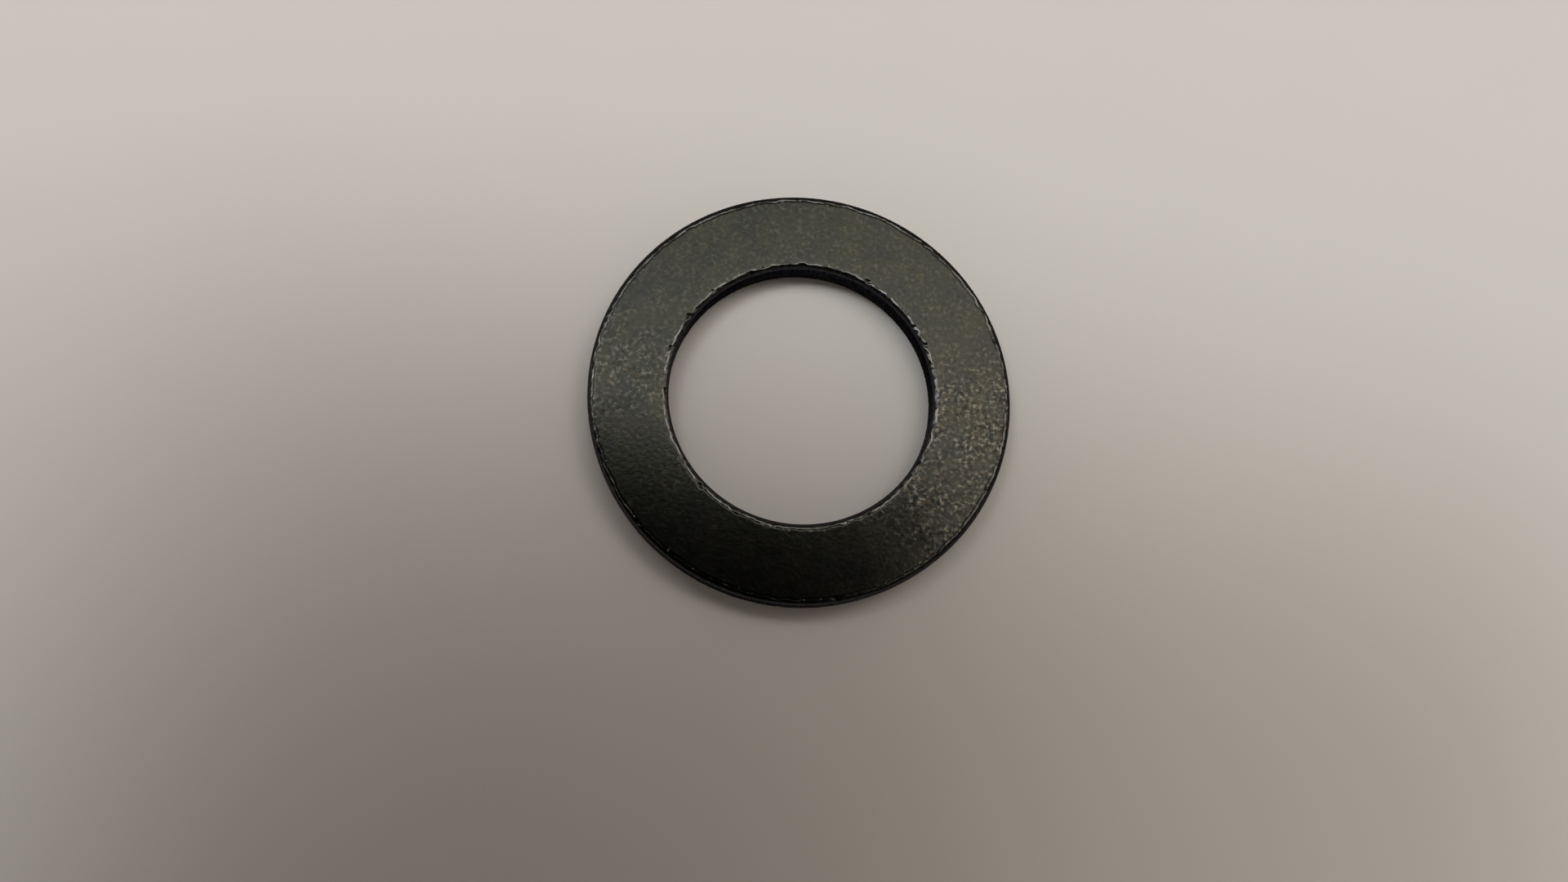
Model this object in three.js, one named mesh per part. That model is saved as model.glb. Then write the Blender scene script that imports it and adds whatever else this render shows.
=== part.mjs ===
// A narrow-rim flat washer, stamped from steel sheet: one solid ring.
//
// Units are millimetres and +Z is up. The origin is the centre of the underside, so the
// washer lies on the plane z = 0 with its bore along +Z.
//
// Both rims are sheared in one stroke from above. The blow drags the top face down into a
// rounded shoulder at each rim and cuts a clean upright band below it. The metal then
// breaks away to the underside, where each wall leans back a little. Tumbling has rounded
// the two lower edges.
import * as THREE from "three";

// The three sizes that the washer is bought by.
const OUTSIDE_DIAMETER = 25.4;
const BORE_DIAMETER = 15.88;
const THICKNESS = 1.9;

// The rounded shoulder at both rims of the top face.
const SHOULDER_WIDTH = 0.36;
const SHOULDER_DROP = 0.24;

// The clean-cut band ends this far below the top face, and the broken band under it leans.
const CLEAN_CUT_DEPTH = 0.85;
const BREAK_LEAN = 0.06;

// The tumbled edge at both rims of the underside.
const TUMBLED_WIDTH = 0.16;
const TUMBLED_RISE = 0.14;

// How finely the round shapes are divided. An edge has twice EDGE_DIVISIONS steps.
const TURN_SEGMENTS = 120;
const EDGE_DIVISIONS = 2;

const QUARTER_TURN = Math.PI / 2;

const blackOxideSteel = new THREE.MeshStandardMaterial({
  name: "black_oxide_steel",
  color: 0x45443f,
  roughness: 0.38,
  metalness: 0.9,
});

// Adds one rounded edge to the section: a quarter of an ellipse, anticlockwise from the
// given angle, about a centre at that radius and height.
function addRoundedEdge(section, radius, height, width, rise, from) {
  section.absellipse(radius, height, width, rise, from, from + QUARTER_TURN, false);
}

// One radial section of the ring, drawn anticlockwise with the radius across and the
// height up: the underside outwards, the outside wall, the top face inwards, the bore wall.
function washerSection() {
  const outside = OUTSIDE_DIAMETER / 2;
  const bore = BORE_DIAMETER / 2;
  const breakHeight = THICKNESS - CLEAN_CUT_DEPTH;
  const shoulderHeight = THICKNESS - SHOULDER_DROP;
  const outsideFoot = outside - BREAK_LEAN - TUMBLED_WIDTH;
  const boreFoot = bore + BREAK_LEAN + TUMBLED_WIDTH;

  const section = new THREE.Path();
  section.moveTo(boreFoot, 0);
  section.lineTo(outsideFoot, 0);
  addRoundedEdge(section, outsideFoot, TUMBLED_RISE, TUMBLED_WIDTH, TUMBLED_RISE, -QUARTER_TURN);
  section.lineTo(outside, breakHeight);
  addRoundedEdge(
    section,
    outside - SHOULDER_WIDTH,
    shoulderHeight,
    SHOULDER_WIDTH,
    SHOULDER_DROP,
    0,
  );
  addRoundedEdge(
    section,
    bore + SHOULDER_WIDTH,
    shoulderHeight,
    SHOULDER_WIDTH,
    SHOULDER_DROP,
    QUARTER_TURN,
  );
  section.lineTo(bore, breakHeight);
  addRoundedEdge(section, boreFoot, TUMBLED_RISE, TUMBLED_WIDTH, TUMBLED_RISE, 2 * QUARTER_TURN);
  section.autoClose = true;
  return section.getPoints(EDGE_DIVISIONS);
}

// The section turned once round the bore. A lathe turns about Y, so the ring is then
// tipped up until its bore lies along Z.
function makeWasher() {
  const geometry = new THREE.LatheGeometry(washerSection(), TURN_SEGMENTS);
  geometry.rotateX(QUARTER_TURN);
  const washer = new THREE.Mesh(geometry, blackOxideSteel);
  washer.name = "washer";
  return washer;
}

const flatWasher = new THREE.Group();
flatWasher.name = "flat_washer";
flatWasher.add(makeWasher());

export default flatWasher;
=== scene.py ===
"""A narrow-rim flat washer, stamped from steel sheet and blackened, lying on a pale table."""

import functools
import math
import random

import bmesh
import bpy
from mathutils import Matrix, Quaternion, Vector, kdtree, noise


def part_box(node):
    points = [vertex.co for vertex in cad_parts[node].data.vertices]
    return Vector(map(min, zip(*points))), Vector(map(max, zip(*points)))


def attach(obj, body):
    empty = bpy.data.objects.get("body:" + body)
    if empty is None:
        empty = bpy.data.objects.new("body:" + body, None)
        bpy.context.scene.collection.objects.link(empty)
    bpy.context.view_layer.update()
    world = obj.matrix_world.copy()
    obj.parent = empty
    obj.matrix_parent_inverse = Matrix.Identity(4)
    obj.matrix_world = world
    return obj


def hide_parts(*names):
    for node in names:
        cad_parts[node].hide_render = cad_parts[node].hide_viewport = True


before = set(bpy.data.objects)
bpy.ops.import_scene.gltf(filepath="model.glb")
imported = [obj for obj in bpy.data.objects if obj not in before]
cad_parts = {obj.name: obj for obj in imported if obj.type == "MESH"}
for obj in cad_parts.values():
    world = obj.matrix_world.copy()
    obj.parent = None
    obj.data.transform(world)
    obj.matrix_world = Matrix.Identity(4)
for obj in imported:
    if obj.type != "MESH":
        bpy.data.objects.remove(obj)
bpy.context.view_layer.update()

MM = 0.001

# ---------------------------------------------------------------------------------------
# The washer's sizes, in metres. Its diameters and thickness are taken off the solid part.

washer_low, washer_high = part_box("washer")
OUTER_RADIUS = (washer_high.x - washer_low.x) / 2
TOP = washer_high.z
UNDERSIDE = washer_low.z
BORE_RADIUS = min(v.co.xy.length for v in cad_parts["washer"].data.vertices)

# The section, from the top down: a rounded shoulder, the upright clean cut, the break that
# leans inwards, and a tumbled lower edge.
SHOULDER_WIDTH = 0.36 * MM
SHOULDER_DROP = 0.24 * MM
CLEAN_CUT_DEPTH = 0.85 * MM
BREAK_LEAN = 0.06 * MM
TUMBLED_WIDTH = 0.16 * MM
TUMBLED_RISE = 0.14 * MM
BREAK_HEIGHT = TOP - CLEAN_CUT_DEPTH
SHOULDER_FOOT = TOP - SHOULDER_DROP

# How many steps each stretch of the section and the whole turn are divided into.
TURN_STEPS = 720
SECTORS = 24
SHOULDER_STEPS = 12
MARGIN_STEPS = 9
FACE_STEPS = 16
WALL_STEPS = 7
TUMBLED_STEPS = 5
UNDERSIDE_STEPS = 10
# Points nearer than this are joined, and heights nearer than this count as the same.
JOIN_WITHIN = 0.0005 * MM
SAME_HEIGHT = 0.0001 * MM

# The strip of face beside each shoulder that is modelled finely, for its crease.
MARGIN_WIDTH = 0.27 * MM

# The shoulder's inner margin is scalloped, with a finer ripple on the scallops.
SCALLOP_REACH = 0.20 * MM
SCALLOP_PITCH = 1.0 * MM
SCALLOP_MEAN = 0.22
SCALLOP_SEED = 7
RIPPLE_REACH = 0.05 * MM
RIPPLE_PITCH = 0.3 * MM
RIPPLE_SEED = 9

# The crease along that margin, shallower at the bore, and the peened dimples beside it. A
# shoulder falls away, and is peened in full, from these shares of its width.
CREASE_DEPTH = 0.012 * MM
CREASE_HALF_WIDTH = 0.048 * MM
BORE_CREASE_SHARE = 0.45
PEEN_DEPTH = 0.02 * MM
PEEN_SIZE = 0.3 * MM
FALL_FROM = 0.5
PEENED_FROM = 0.3

# Nicks knocked into the shoulders by the other washers in the tumbling barrel. Their places
# and their zone are in shoulder widths from the rim, and their reach is in half lengths.
NICK_SEED = 5
NICK_COUNT = 46
NICK_PLACES = (0.2, 1.0)
NICK_ZONE = 1.5
NICK_HALF_LENGTH = (0.06 * MM, 0.22 * MM)
NICK_DEPTH = (0.02 * MM, 0.07 * MM)
NICK_REACH = 2
NICK_FALL = 2

# The walls: fine upright drag lines on the clean cut, a torn surface on the break. A wall is
# all that lies within its reach of a rim and below its top.
WALL_REACH = BREAK_LEAN + 0.6 * TUMBLED_WIDTH
WALL_TOP = TOP - 0.9 * SHOULDER_DROP
DRAG_DEPTH = 0.006 * MM
DRAG_PITCH = 0.16 * MM
DRAG_SEED = 17
TEAR_DEPTH = 0.05 * MM
TEAR_SIZE = 0.22 * MM
BREAK_LINE_WAVE = 0.16 * MM
BREAK_LINE_PITCH = 1.4 * MM
BREAK_LINE_SHARPNESS = 0.05 * MM
BREAK_LINE_SEED = 15

# Patches of coarser oxide round the ring: turn and spread in degrees, and strength.
GRAINY_PATCHES = ((-10, 24, 0.95), (-42, 20, 1.0), (175, 22, 0.6), (215, 12, 0.4))
GRAIN_EVERYWHERE = 0.22
# Painted shade on the outer lip: its bare steel shows in full on the lit side of the washer and hardly
# at all on the shaded side.
LIT_LIP_SIDE = math.radians(65)
SHADED_LIP_LEAST = 0.08

# The sheet was never quite flat.
SHEET_WAVE = 0.012 * MM
SHEET_WAVE_LENGTH = 5 * MM

# What each point of the mesh tells the finish, from 0 to 1.
SURFACE_LAYERS = ("crease", "shoulder", "broken", "nicked", "grainy", "lit_lip")


# ---------------------------------------------------------------------------------------
# The washer's mesh.

def spaced(start, end, steps):
    """Points from start, and up to but without end, evenly spaced."""
    return [start.lerp(end, i / steps) for i in range(steps)]


def rounded_edge(centre, width, rise, start_turn, steps):
    """A quarter of an ellipse, anticlockwise, without its last point."""
    turns = (start_turn + math.pi / 2 * i / steps for i in range(steps))
    return [
        centre + Vector((width * math.cos(turn), rise * math.sin(turn)))
        for turn in turns
    ]


def washer_section():
    """The ring's closed section as points of radius and height, anticlockwise."""
    outer_foot = OUTER_RADIUS - BREAK_LEAN - TUMBLED_WIDTH
    bore_foot = BORE_RADIUS + BREAK_LEAN + TUMBLED_WIDTH
    outer_shoulder = OUTER_RADIUS - SHOULDER_WIDTH
    bore_shoulder = BORE_RADIUS + SHOULDER_WIDTH
    tumbled_height = UNDERSIDE + TUMBLED_RISE
    quarter = math.pi / 2

    def point(radius, height):
        return Vector((radius, height))

    points = spaced(point(bore_foot, UNDERSIDE), point(outer_foot, UNDERSIDE), UNDERSIDE_STEPS)
    points += rounded_edge(
        point(outer_foot, tumbled_height), TUMBLED_WIDTH, TUMBLED_RISE, -quarter, TUMBLED_STEPS
    )
    points += spaced(
        point(OUTER_RADIUS - BREAK_LEAN, tumbled_height), point(OUTER_RADIUS, BREAK_HEIGHT), WALL_STEPS
    )
    points += spaced(
        point(OUTER_RADIUS, BREAK_HEIGHT), point(OUTER_RADIUS, SHOULDER_FOOT), WALL_STEPS
    )
    points += rounded_edge(
        point(outer_shoulder, SHOULDER_FOOT), SHOULDER_WIDTH, SHOULDER_DROP, 0, SHOULDER_STEPS
    )
    points += spaced(
        point(outer_shoulder, TOP), point(outer_shoulder - MARGIN_WIDTH, TOP), MARGIN_STEPS
    )
    points += spaced(
        point(outer_shoulder - MARGIN_WIDTH, TOP), point(bore_shoulder + MARGIN_WIDTH, TOP), FACE_STEPS
    )
    points += spaced(
        point(bore_shoulder + MARGIN_WIDTH, TOP), point(bore_shoulder, TOP), MARGIN_STEPS
    )
    points += rounded_edge(
        point(bore_shoulder, SHOULDER_FOOT), SHOULDER_WIDTH, SHOULDER_DROP, quarter, SHOULDER_STEPS
    )
    points += spaced(
        point(BORE_RADIUS, SHOULDER_FOOT), point(BORE_RADIUS, BREAK_HEIGHT), WALL_STEPS
    )
    points += spaced(
        point(BORE_RADIUS, BREAK_HEIGHT), point(BORE_RADIUS + BREAK_LEAN, tumbled_height), WALL_STEPS
    )
    points += rounded_edge(
        point(bore_foot, tumbled_height), TUMBLED_WIDTH, TUMBLED_RISE, 2 * quarter, TUMBLED_STEPS
    )
    return points


def spun_ring(mesh):
    """The section swept round the bore's axis: one sector, and turned copies of it."""
    section = [mesh.verts.new((p.x, 0, p.y)) for p in washer_section()]
    edges = [
        mesh.edges.new((vert, following))
        for vert, following in zip(section, section[1:] + section[:1])
    ]
    sector_angle = 2 * math.pi / SECTORS
    bmesh.ops.spin(
        mesh,
        geom=section + edges,
        axis=(0, 0, 1),
        angle=sector_angle,
        steps=TURN_STEPS // SECTORS,
    )
    sector = mesh.verts[:] + mesh.edges[:] + mesh.faces[:]
    for index in range(1, SECTORS):
        copied = bmesh.ops.duplicate(mesh, geom=sector)["geom"]
        bmesh.ops.rotate(
            mesh,
            matrix=Matrix.Rotation(sector_angle * index, 3, "Z"),
            verts=[part for part in copied if isinstance(part, bmesh.types.BMVert)],
        )
    bmesh.ops.remove_doubles(mesh, verts=mesh.verts, dist=JOIN_WITHIN)
    bmesh.ops.recalc_face_normals(mesh, faces=mesh.faces)


def fade(value, start, end):
    """0 before start, 1 after end, and a smooth rise between them."""
    share = min(1.0, max(0.0, (value - start) / (end - start)))
    return share * share * (3 - 2 * share)


def rim_distance(place):
    """(how far a point lies from the nearer rim, the way from that rim to the metal)."""
    radius = place.xy.length
    to_outer, to_bore = OUTER_RADIUS - radius, radius - BORE_RADIUS
    return (to_outer, -1) if to_outer < to_bore else (to_bore, 1)


@functools.cache
def rim_noise(turn, inward, pitch, seed):
    """Noise from -1 to 1 at one step of the turn, that changes round the rim and not up it."""
    angle = 2 * math.pi * turn / TURN_STEPS
    radius = OUTER_RADIUS if inward < 0 else BORE_RADIUS
    reach = radius / pitch
    return noise.noise(Vector((reach * math.cos(angle), reach * math.sin(angle), seed * inward)))


def around(place, inward, pitch, seed):
    """The rim's noise at the step of the turn that a point stands on."""
    turn = round(math.atan2(place.y, place.x) / (2 * math.pi) * TURN_STEPS)
    return rim_noise(turn % TURN_STEPS, inward, pitch, seed)


def margin_wander(place, inward):
    """How far the shoulder's margin has crept into the face at this point of the rim."""
    scallops = abs(around(place, inward, SCALLOP_PITCH, SCALLOP_SEED))
    ripple = around(place, inward, RIPPLE_PITCH, RIPPLE_SEED)
    return SCALLOP_REACH * (SCALLOP_MEAN - scallops) + RIPPLE_REACH * ripple


def outwards(place):
    """The level way from the bore's axis to a point."""
    return Vector((place.x, place.y, 0)).normalized()


def grain_share(place):
    """How coarse the oxide's grain is at this point, from 0 to 1."""
    turn = math.degrees(math.atan2(place.y, place.x))
    share = GRAIN_EVERYWHERE
    for centre, spread, strength in GRAINY_PATCHES:
        off = (turn - centre + 180) % 360 - 180
        share = max(share, strength * math.exp(-(off / spread) ** 2))
    return share


def lit_lip_share(place, inward):
    """How much of the lip's bare steel shows here, from 0 to 1: all of it at the bore, less towards
    the outer lip's shaded side, a painted shade.
    """
    if inward > 0:
        return 1.0
    turn = math.atan2(place.y, place.x) - LIT_LIP_SIDE
    return SHADED_LIP_LEAST + (1 - SHADED_LIP_LEAST) * (0.5 + 0.5 * math.cos(turn))


def shape_top(mesh, layers):
    """Lets the shoulders' margins wander, sinks the crease and peens the shoulders."""
    crease = layers["crease"]
    for vert in mesh.verts:
        distance, inward = rim_distance(vert.co)
        vert[layers["grainy"]] = grain_share(vert.co)
        # Painted shade: the outer lip's bare steel is dimmed on one side of the washer.
        vert[layers["lit_lip"]] = lit_lip_share(vert.co, inward)
        if vert.co.z < SHOULDER_FOOT - SAME_HEIGHT:
            continue
        wander = margin_wander(vert.co, inward)
        reach = fade(distance, 0, SHOULDER_WIDTH)
        reach *= 1 - fade(distance, SHOULDER_WIDTH, SHOULDER_WIDTH + MARGIN_WIDTH)
        vert.co += outwards(vert.co) * inward * wander * reach
        distance += wander * reach
        margin = SHOULDER_WIDTH + wander
        off = (distance - margin) / CREASE_HALF_WIDTH
        vert[crease] = math.exp(-off * off)
        if inward > 0:
            vert[crease] *= BORE_CREASE_SHARE
        vert[layers["shoulder"]] = min(1.0, max(0.0, 1 - distance / margin))
        slope = 1 - fade(distance, margin * FALL_FROM, margin)
        peen = noise.noise(vert.co / PEEN_SIZE) * fade(distance, 0, margin * PEENED_FROM)
        vert.co.z += PEEN_DEPTH * peen * slope
        vert.co.z -= CREASE_DEPTH * vert[crease]
        wave = abs(noise.noise(vert.co / SHEET_WAVE_LENGTH))
        vert.co.z -= SHEET_WAVE * wave * (1 - slope)


def nick_rims(mesh, nicked):
    """Dents the shoulders at random points of both rims."""
    dice = random.Random(NICK_SEED)
    zone = SHOULDER_WIDTH * NICK_ZONE
    rims = [
        vert for vert in mesh.verts
        if vert.co.z > SHOULDER_FOOT and rim_distance(vert.co)[0] < zone
    ]
    tree = kdtree.KDTree(len(rims))
    for index, vert in enumerate(rims):
        tree.insert((vert.co.x, vert.co.y, 0), index)
    tree.balance()
    for _ in range(NICK_COUNT):
        turn = dice.uniform(0, 2 * math.pi)
        inward = dice.choice((-1, 1))
        radius = OUTER_RADIUS if inward < 0 else BORE_RADIUS
        radius += inward * dice.uniform(*NICK_PLACES) * SHOULDER_WIDTH
        centre = Vector((radius * math.cos(turn), radius * math.sin(turn), 0))
        half_length = dice.uniform(*NICK_HALF_LENGTH)
        depth = dice.uniform(*NICK_DEPTH)
        for _, index, off in tree.find_range(centre, half_length * NICK_REACH):
            share = math.exp(-NICK_FALL * (off / half_length) ** 2)
            rims[index].co.z -= depth * share
            rims[index][nicked] = max(rims[index][nicked], share)


def shape_walls(mesh, layers):
    """Drag lines on the clean cut, a torn surface on the break, and a wavy line between."""
    for vert in mesh.verts:
        distance, inward = rim_distance(vert.co)
        if distance >= WALL_REACH or vert.co.z > WALL_TOP:
            continue
        vert[layers["shoulder"]] = 1.0
        wave = BREAK_LINE_WAVE * around(vert.co, inward, BREAK_LINE_PITCH, BREAK_LINE_SEED)
        clear = fade(vert.co.z, UNDERSIDE + TUMBLED_RISE, BREAK_HEIGHT)
        clear *= 1 - fade(vert.co.z, BREAK_HEIGHT, SHOULDER_FOOT)
        vert.co.z += wave * clear
        line = BREAK_HEIGHT + wave
        torn = 1 - fade(vert.co.z, line - BREAK_LINE_SHARPNESS, line + BREAK_LINE_SHARPNESS)
        vert[layers["broken"]] = torn
        drag = DRAG_DEPTH * around(vert.co, inward, DRAG_PITCH, DRAG_SEED) * (1 - torn)
        tear = TEAR_DEPTH * abs(noise.noise(vert.co / TEAR_SIZE)) * torn
        tear *= fade(vert.co.z, UNDERSIDE, UNDERSIDE + TUMBLED_RISE)
        vert.co += outwards(vert.co) * inward * (drag + tear)


def make_washer():
    """The stamped ring as one object, with its surface layers."""
    mesh = bmesh.new()
    spun_ring(mesh)
    layers = {name: mesh.verts.layers.float.new(name) for name in SURFACE_LAYERS}
    shape_top(mesh, layers)
    nick_rims(mesh, layers["nicked"])
    shape_walls(mesh, layers)
    for face in mesh.faces:
        face.smooth = True
    data = bpy.data.meshes.new("stamped_washer")
    mesh.to_mesh(data)
    mesh.free()
    washer = bpy.data.objects.new("stamped_washer", data)
    bpy.context.scene.collection.objects.link(washer)
    return washer


# ---------------------------------------------------------------------------------------
# Node trees.

class Link:
    """One output socket of a node tree. Arithmetic on it adds Math nodes."""

    def __init__(self, tree, socket):
        self.tree = tree
        self.socket = socket

    def _math(self, operation, *values):
        return self.tree.node("ShaderNodeMath", {"operation": operation}, dict(enumerate(values)))

    def __add__(self, other):
        return self._math("ADD", self, other)

    __radd__ = __add__

    def __sub__(self, other):
        return self._math("SUBTRACT", self, other)

    def __rsub__(self, other):
        return self._math("SUBTRACT", other, self)

    def __mul__(self, other):
        return self._math("MULTIPLY", self, other)

    __rmul__ = __mul__

    def __pow__(self, other):
        return self._math("POWER", self, other)

    def clamped(self):
        return self.tree.node("ShaderNodeClamp", {}, {"Value": self})

    def rising(self, start, end):
        """0 below start, 1 above end, and a smooth rise between them."""
        return self.tree.node(
            "ShaderNodeMapRange",
            {"interpolation_type": "SMOOTHSTEP"},
            {"Value": self, "From Min": start, "From Max": end},
        )


class Tree:
    """The node tree of a material or of the world, emptied and built up again."""

    # The numbers of the sockets of the Mix and Mix Shader nodes, which share names.
    MIX_FACTOR, MIX_FIRST, MIX_SECOND, MIX_RESULT = 0, 6, 7, 2
    SHADER_FACTOR, SHADER_FIRST, SHADER_SECOND = 0, 1, 2

    def __init__(self, owner):
        owner.use_nodes = True
        self.nodes = owner.node_tree.nodes
        self.links = owner.node_tree.links
        self.nodes.clear()

    def node(self, kind, settings, inputs, output=0):
        """A new node with these settings and these values or links on its inputs."""
        made = self.nodes.new(kind)
        for name, value in settings.items():
            setattr(made, name, value)
        for name, value in inputs.items():
            if isinstance(value, Link):
                self.links.new(value.socket, made.inputs[name])
            else:
                made.inputs[name].default_value = value
        return Link(self, made.outputs[output]) if made.outputs else None

    def vectors(self, operation, *values, output="Vector"):
        """Vector Math on vectors or colours."""
        settings = {"operation": operation}
        return self.node("ShaderNodeVectorMath", settings, dict(enumerate(values)), output)

    def mixed(self, factor, first, second):
        """Two colours mixed: the first where factor is 0, the second where it is 1."""
        return self.node(
            "ShaderNodeMix",
            {"data_type": "RGBA"},
            {self.MIX_FACTOR: factor, self.MIX_FIRST: first, self.MIX_SECOND: second},
            self.MIX_RESULT,
        )

    def mixed_shaders(self, factor, first, second):
        """Two shaders mixed: the first where factor is 0, the second where it is 1."""
        return self.node(
            "ShaderNodeMixShader",
            {},
            {self.SHADER_FACTOR: factor, self.SHADER_FIRST: first, self.SHADER_SECOND: second},
        )

    def principled(self, inputs):
        return self.node("ShaderNodeBsdfPrincipled", {}, inputs)

    def finished(self, surface):
        """Puts a shader on the material's surface."""
        self.node("ShaderNodeOutputMaterial", {}, {"Surface": surface})

    def place(self):
        return self.node("ShaderNodeTexCoord", {}, {}, "Object")

    def noise_at(self, where, size, detail, roughness):
        return self.node(
            "ShaderNodeTexNoise",
            {},
            {"Vector": where, "Scale": 1 / size, "Detail": detail, "Roughness": roughness},
            "Fac",
        )

    def mottle(self, size, detail=2.0, roughness=0.5, shift=0.0):
        """Soft noise with patches of about this size; each shift gives another pattern."""
        moved = self.vectors("ADD", self.place(), (shift, shift, shift))
        return self.noise_at(moved, size, detail, roughness)

    def upright_lines(self, spacing, stretch, detail=3.0, roughness=0.5):
        """Soft noise about this coarse across, drawn out along Z this many times."""
        flattened = self.vectors("MULTIPLY", self.place(), (1, 1, 1 / stretch))
        return self.noise_at(flattened, spacing, detail, roughness)

    def attribute(self, name):
        return self.node("ShaderNodeAttribute", {"attribute_name": name}, {}, "Fac")


# ---------------------------------------------------------------------------------------
# The black oxide finish. An EDGE is the stretch of noise or of a surface layer over which a
# mask rises from 0 to 1.

OLIVE = (0.0310, 0.0315, 0.0275, 1)
BLUE_GREY = (0.0258, 0.0272, 0.0277, 1)
CLOUD_SIZE = 1.9 * MM
CLOUD_EDGE = (0.34, 0.66)

# The coarse grain: pale flecks, dark gaps between them, dark pits and rusty specks. It
# comes and goes in patches, and never fades below the least share.
TAN = (0.115, 0.110, 0.096, 1)
# The dark of the grain's gaps and pits, and also the colour of the painted shade in the crease and
# nicks.
GRAIN_DARK_AND_SHADE = (0.007, 0.007, 0.008, 1)
RUST = (0.048, 0.035, 0.026, 1)
GRAIN_PATCH_SIZE = 1.1 * MM
GRAIN_PATCH_EDGE = (0.35, 0.65)
GRAIN_PATCH_LEAST = 0.35
FLECK_SIZE = 0.26 * MM
FLECK_EDGE = (0.50, 0.66)
GAP_EDGE = (0.36, 0.48)
GAP_DARKNESS = 0.8
PIT_SIZE = 0.34 * MM
PIT_EDGE = (0.54, 0.63)
PIT_DARKNESS = 0.75
SPECK_SIZE = 0.36 * MM
SPECK_EDGE = (0.54, 0.66)
SPECK_STRENGTH = 0.6

# The lip, rubbed to bare steel in patches along longer stretches, and glints along the
# crease. They reach beyond it, because a power below 1 widens it.
BARE_STEEL = (0.125, 0.125, 0.135, 1)
LIP_INNER_EDGE = (0.01, 0.07)
LIP_OUTER_EDGE = (0.26, 0.38)
LIP_PATCH_SIZE = 0.6 * MM
LIP_PATCH_EDGE = (0.40, 0.56)
LIP_STRETCH_SIZE = 4.5 * MM
LIP_STRETCH_EDGE = (0.35, 0.6)
LIP_STRETCH_LEAST = 0.5
GLINT_SIZE = 0.22 * MM
GLINT_EDGE = (0.66, 0.72)
GLINT_OUTER_EDGE = (0.2, 0.4)
GLINT_POWER = 0.2

# Painted shade in the crease, in blotches, and in the nicks.
BLOTCH_SIZE = 0.4 * MM
BLOTCH_EDGE = (0.44, 0.60)
BLOTCH_LEAST = 0.55
NICK_DARKNESS = 0.6
PAINTED_SHADE_DARKNESS = 0.9

# The walls: drag lines on the clean cut, torn flecks on the break.
CUT_DARK = (0.034, 0.035, 0.042, 1)
CUT_PALE = (0.056, 0.058, 0.068, 1)
TORN_DARK = (0.023, 0.023, 0.026, 1)
TORN_PALE = (0.043, 0.042, 0.045, 1)
WALL_EDGE = (0.45, 0.7)
DRAG_LINE_SPACING = 0.12 * MM
DRAG_LINE_STRETCH = 14
DRAG_LINE_EDGE = (0.40, 0.60)
TORN_FLECK_SIZE = 0.2 * MM
TORN_FLECK_EDGE = (0.46, 0.62)

# How rough the polished face is, and what each place adds to that.
FACE_ROUGHNESS = 0.17
CLOUDED_ROUGHNESS = 0.06
CLOUDED_SIZE = 0.6 * MM
GLINT_ROUGHNESS = 0.22
WALL_ROUGHNESS = 0.12
TORN_ROUGHNESS = 0.2

# The fine relief, and how many times deeper it is on the break.
RELIEF_DEPTH = 0.006 * MM
RELIEF_SIZE = 0.26 * MM
TORN_RELIEF = 3

# The steel brightens when it is seen aslant. Round the rims the soot takes most of that.
FACE_SHEEN = (1.0, 1.0, 1.0, 1)
RIM_SHEEN = (0.24, 0.24, 0.24, 1)
RIM_EDGE = (0.005, 0.05)


def add_coarse_grain(tree, colour, grainy):
    """Pale flecks, dark gaps and pits and rusty specks, as strong as the grainy layer says."""
    patches = tree.mottle(GRAIN_PATCH_SIZE, detail=3, shift=0.7).rising(*GRAIN_PATCH_EDGE)
    strength = grainy * (GRAIN_PATCH_LEAST + (1 - GRAIN_PATCH_LEAST) * patches)
    flecks = tree.mottle(FLECK_SIZE, detail=3, roughness=0.6, shift=0.3)
    pits = tree.mottle(PIT_SIZE, detail=3, roughness=0.65, shift=8.3)
    specks = tree.mottle(SPECK_SIZE, detail=3, shift=2.9)
    gaps = 1 - flecks.rising(*GAP_EDGE)
    colour = tree.mixed(flecks.rising(*FLECK_EDGE) * strength, colour, TAN)
    colour = tree.mixed(gaps * strength * GAP_DARKNESS, colour, GRAIN_DARK_AND_SHADE)
    colour = tree.mixed(pits.rising(*PIT_EDGE) * strength * PIT_DARKNESS, colour, GRAIN_DARK_AND_SHADE)
    return tree.mixed(specks.rising(*SPECK_EDGE) * strength * SPECK_STRENGTH, colour, RUST)


def lip_wear(tree, shoulder, lit_lip):
    """Where the lip of a shoulder is worn to bare steel, dimmed on the shaded side of the outer lip as
    painted shade.
    """
    lip = shoulder.rising(*LIP_INNER_EDGE) * (1 - shoulder.rising(*LIP_OUTER_EDGE))
    patches = tree.mottle(LIP_PATCH_SIZE, detail=3, shift=1.7).rising(*LIP_PATCH_EDGE)
    stretches = tree.mottle(LIP_STRETCH_SIZE, detail=1, shift=6.1).rising(*LIP_STRETCH_EDGE)
    strength = LIP_STRETCH_LEAST + (1 - LIP_STRETCH_LEAST) * stretches
    # The third argument dims the worn lip on its shaded side: painted shade.
    return (lip * patches * lit_lip * strength).clamped()


def crease_glints(tree, shoulder, crease):
    """Small bright points along the crease."""
    margin = crease ** GLINT_POWER * (1 - shoulder.rising(*GLINT_OUTER_EDGE))
    return tree.mottle(GLINT_SIZE, detail=1, shift=4.9).rising(*GLINT_EDGE) * margin


def crease_and_nick_shade(tree, crease, glints, nicked):
    """How much painted shade darkens the crease and the nicks."""
    blotches = tree.mottle(BLOTCH_SIZE, detail=2, shift=7.7).rising(*BLOTCH_EDGE)
    strength = BLOTCH_LEAST + (1 - BLOTCH_LEAST) * blotches
    return (crease * strength * (1 - glints) + nicked * NICK_DARKNESS).clamped() * PAINTED_SHADE_DARKNESS


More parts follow.
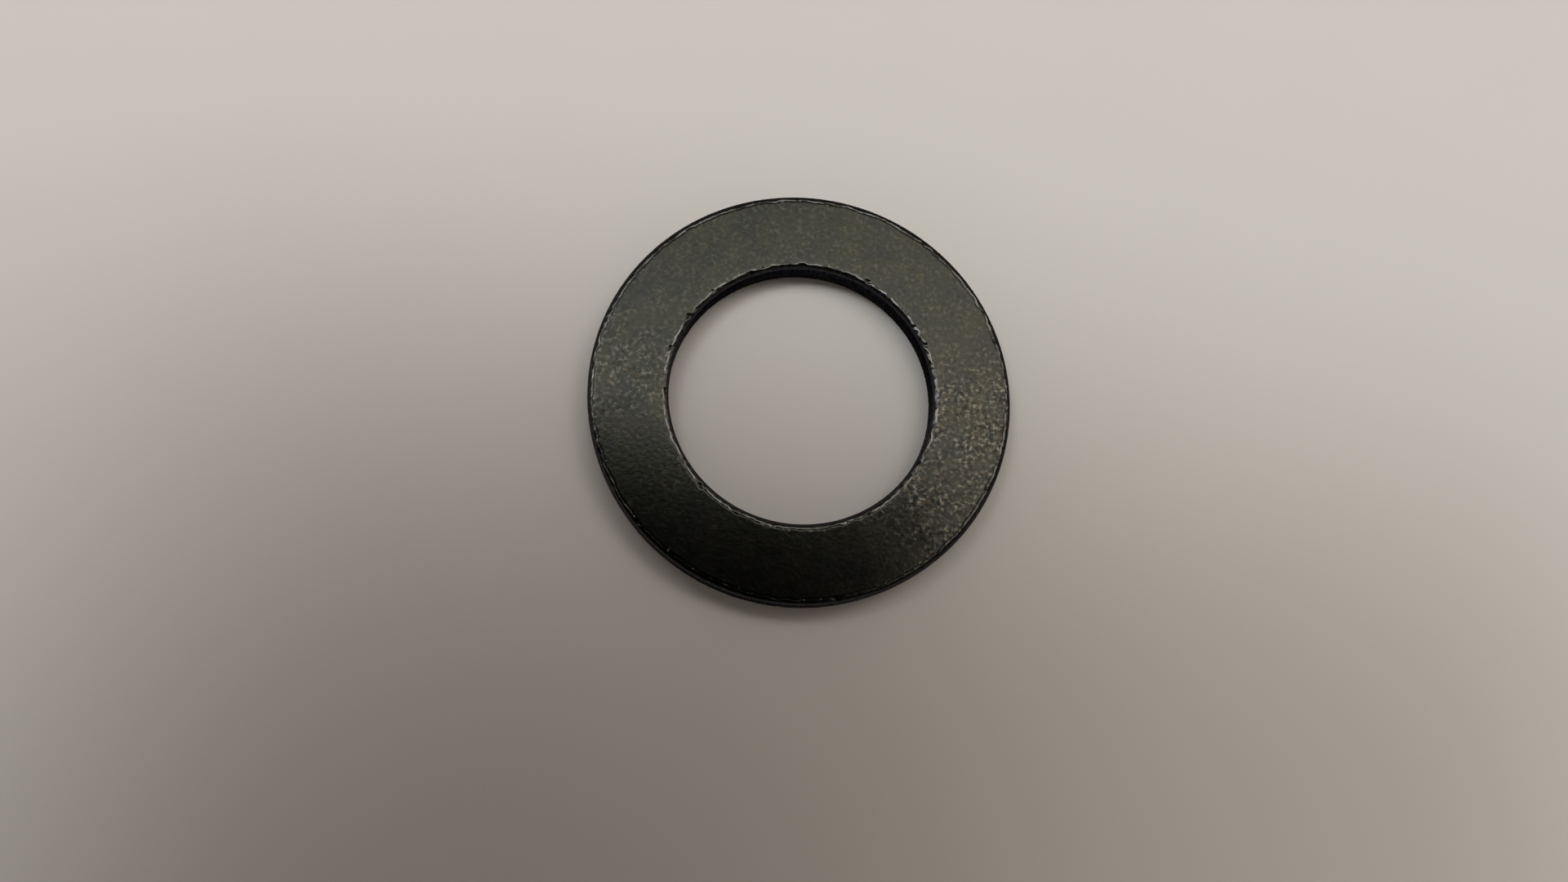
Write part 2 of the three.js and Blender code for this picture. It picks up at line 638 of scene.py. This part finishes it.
def black_oxide_steel():
    """Blackened steel: dark and semi-gloss, with fine grain, worn to bare metal on its rims, with
    painted shade in the crease, in the nicks and on one side of the outer lip.
    """
    material = bpy.data.materials.new("black_oxide_steel")
    tree = Tree(material)
    crease, shoulder, broken, nicked, grainy, lit_lip = map(tree.attribute, SURFACE_LAYERS)
    walled = shoulder.rising(*WALL_EDGE)
    glints = crease_glints(tree, shoulder, crease)
    drag_lines = tree.upright_lines(DRAG_LINE_SPACING, DRAG_LINE_STRETCH)
    tears = tree.mottle(TORN_FLECK_SIZE, detail=4, roughness=0.6, shift=3.3)

    cloud = tree.mottle(CLOUD_SIZE, detail=3)
    colour = tree.mixed(cloud.rising(*CLOUD_EDGE), OLIVE, BLUE_GREY)
    colour = add_coarse_grain(tree, colour, grainy)
    worn = (lip_wear(tree, shoulder, lit_lip) + glints).clamped()
    colour = tree.mixed(worn, colour, BARE_STEEL)
    # Painted shade in the crease and the nicks.
    colour = tree.mixed(crease_and_nick_shade(tree, crease, glints, nicked), colour, GRAIN_DARK_AND_SHADE)
    clean_cut = tree.mixed(drag_lines.rising(*DRAG_LINE_EDGE), CUT_DARK, CUT_PALE)
    torn = tree.mixed(tears.rising(*TORN_FLECK_EDGE), TORN_DARK, TORN_PALE)
    colour = tree.mixed(walled, colour, tree.mixed(broken, clean_cut, torn))

    roughness = FACE_ROUGHNESS + CLOUDED_ROUGHNESS * tree.mottle(CLOUDED_SIZE, shift=4.1)
    roughness += GLINT_ROUGHNESS * glints + WALL_ROUGHNESS * walled + TORN_ROUGHNESS * broken

    relief = tree.mottle(RELIEF_SIZE, shift=5.3)
    relief += walled * (1 - broken) * drag_lines + TORN_RELIEF * walled * broken * tears
    grain = tree.node(
        "ShaderNodeBump", {}, {"Height": relief, "Distance": RELIEF_DEPTH, "Strength": 1.0}
    )

    face, rim = (
        tree.principled({
            "Base Color": colour,
            "Metallic": 1.0,
            "Roughness": roughness,
            "Specular Tint": sheen,
            "Normal": grain,
        })
        for sheen in (FACE_SHEEN, RIM_SHEEN)
    )
    tree.finished(tree.mixed_shaders(shoulder.rising(*RIM_EDGE), face, rim))
    return material


# ---------------------------------------------------------------------------------------
# The table and the black card.

TABLE_DARK = (0.705, 0.705, 0.735, 1)
TABLE_PALE = (0.725, 0.725, 0.755, 1)
TABLE_CLOUD_SIZE = 9 * MM
TABLE_ROUGHNESS = 0.85
TABLE_GLOSS = 0.2
CARD_BLACK = (0.010, 0.0105, 0.015, 1)
CARD_ROUGHNESS = 0.9
CARD_GLOSS = 0.1


def pale_table():
    """Matt off-white card, very faintly mottled."""
    material = bpy.data.materials.new("pale_card")
    tree = Tree(material)
    tree.finished(tree.principled({
        "Base Color": tree.mixed(tree.mottle(TABLE_CLOUD_SIZE, detail=4), TABLE_DARK, TABLE_PALE),
        "Roughness": TABLE_ROUGHNESS,
        "Specular IOR Level": TABLE_GLOSS,
    }))
    return material


def black_card_finish():
    """Matt black card, faintly blue."""
    material = bpy.data.materials.new("black_card")
    tree = Tree(material)
    tree.finished(tree.principled({
        "Base Color": CARD_BLACK,
        "Roughness": CARD_ROUGHNESS,
        "Specular IOR Level": CARD_GLOSS,
    }))
    return material


# ---------------------------------------------------------------------------------------
# The studio and the camera.

def sheet(name, low, high, height, material, turn=0.0, corner=(0, 0)):
    """A flat rectangle at one height, turned about the origin and then moved to corner."""
    mesh = bmesh.new()
    bmesh.ops.create_grid(mesh, x_segments=1, y_segments=1, size=0.5)
    centre = (Vector(low) + Vector(high)) / 2
    size = Vector(high) - Vector(low)
    bmesh.ops.scale(mesh, vec=(size.x, size.y, 1), verts=mesh.verts)
    bmesh.ops.translate(mesh, vec=(centre.x, centre.y, height), verts=mesh.verts)
    bmesh.ops.rotate(mesh, matrix=Matrix.Rotation(turn, 3, "Z"), verts=mesh.verts)
    bmesh.ops.translate(mesh, vec=(*corner, 0), verts=mesh.verts)
    data = bpy.data.meshes.new(name)
    mesh.to_mesh(data)
    mesh.free()
    data.materials.append(material)
    made = bpy.data.objects.new(name, data)
    bpy.context.scene.collection.objects.link(made)
    return made


TABLE_REACH = 1.5

# A black card held level above the washer keeps the near half of the room out of it.
CARD_WIDTH = 92 * MM
CARD_LENGTH = 110 * MM
CARD_HEIGHT = 73 * MM
CARD_CORNER = (25.5 * MM, 8.5 * MM)
CARD_TURN = math.radians(-10)

# The soft lamps of the room: azimuth and elevation in degrees, and colour times strength.
# Away from its middle a lamp fades as this power of the cosine.
ROOM_LAMPS = (
    (30, 55, (3.4, 3.0, 2.6)),
    (60, 65, (1.9, 1.8, 1.5)),
    (30, 79, (2.3, 2.1, 1.6)),
    (90, 80, (2.0, 2.0, 1.8)),
    (90, 65, (0.9, 0.9, 0.7)),
    (150, 65, (11.8, 11.8, 10.9)),
    (180, 55, (1.6, 1.3, 1.2)),
)
LAMP_SHARPNESS = 60

# The room's own light, from its walls up to its ceiling, and what is seen past the table.
ROOM_WALLS = (0.48, 0.40, 0.31, 1)
ROOM_CEILING = (0.01, 0.01, 0.01, 1)
BACKDROP = (0.605, 0.57, 0.51, 1)


def make_room():
    """A dim room with a few soft lamps. The backdrop that is seen directly is pale."""
    world = bpy.data.worlds.new("room")
    bpy.context.scene.world = world
    tree = Tree(world)
    direction = tree.node("ShaderNodeTexCoord", {}, {}, "Generated")
    height = tree.node("ShaderNodeSeparateXYZ", {}, {0: direction}, "Z").clamped()
    glow = tree.mixed(height, ROOM_WALLS, ROOM_CEILING)
    for azimuth, elevation, colour in ROOM_LAMPS:
        level = math.cos(math.radians(elevation))
        towards = (
            level * math.cos(math.radians(azimuth)),
            level * math.sin(math.radians(azimuth)),
            math.sin(math.radians(elevation)),
        )
        facing = tree.vectors("DOT_PRODUCT", direction, towards, output="Value")
        lamp = facing.clamped() ** LAMP_SHARPNESS
        glow = tree.vectors("MULTIPLY_ADD", colour, lamp, glow)
    seen = tree.node("ShaderNodeLightPath", {}, {}, "Is Camera Ray")
    background = tree.node("ShaderNodeBackground", {}, {"Color": tree.mixed(seen, glow, BACKDROP)})
    tree.node("ShaderNodeOutputWorld", {}, {"Surface": background})


def studio():
    """The table under the washer, the card above it and the room around them."""
    far_corner = (TABLE_REACH, TABLE_REACH)
    sheet("table", (-TABLE_REACH, -TABLE_REACH), far_corner, UNDERSIDE, pale_table())
    card = sheet(
        "shading_card",
        (-CARD_WIDTH, -CARD_LENGTH),
        (0, 0),
        CARD_HEIGHT,
        black_card_finish(),
        CARD_TURN,
        CARD_CORNER,
    )
    card.visible_camera = False
    make_room()


# The camera looks steeply down on the washer. Angles are in degrees.
CAMERA_LENS_MM = 28.1
CAMERA_AZIMUTH = -18.9
CAMERA_ELEVATION = 75.29
CAMERA_ROLL = 19.5
CLIP_START = 1 * MM
CAMERA_DISTANCE = 5.69 * OUTER_RADIUS
CAMERA_AIM = Vector((-0.0845 * OUTER_RADIUS, -0.2367 * OUTER_RADIUS, TOP))


def make_camera():
    """The scene's camera, aimed and then rolled about its own axis."""
    azimuth, elevation = math.radians(CAMERA_AZIMUTH), math.radians(CAMERA_ELEVATION)
    back = Vector((
        math.sin(azimuth) * math.cos(elevation),
        -math.cos(azimuth) * math.cos(elevation),
        math.sin(elevation),
    ))
    data = bpy.data.cameras.new("camera")
    data.lens = CAMERA_LENS_MM
    data.clip_start = CLIP_START
    camera = bpy.data.objects.new("camera", data)
    camera.location = CAMERA_AIM + back * CAMERA_DISTANCE
    camera.rotation_mode = "QUATERNION"
    roll = Quaternion((0, 0, 1), math.radians(CAMERA_ROLL))
    camera.rotation_quaternion = (-back).to_track_quat("-Z", "Y") @ roll
    bpy.context.scene.collection.objects.link(camera)
    bpy.context.scene.camera = camera


washer = make_washer()
washer.data.materials.append(black_oxide_steel())
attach(washer, "root")
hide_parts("washer")
studio()
make_camera()
bpy.context.scene.view_settings.view_transform = "Standard"
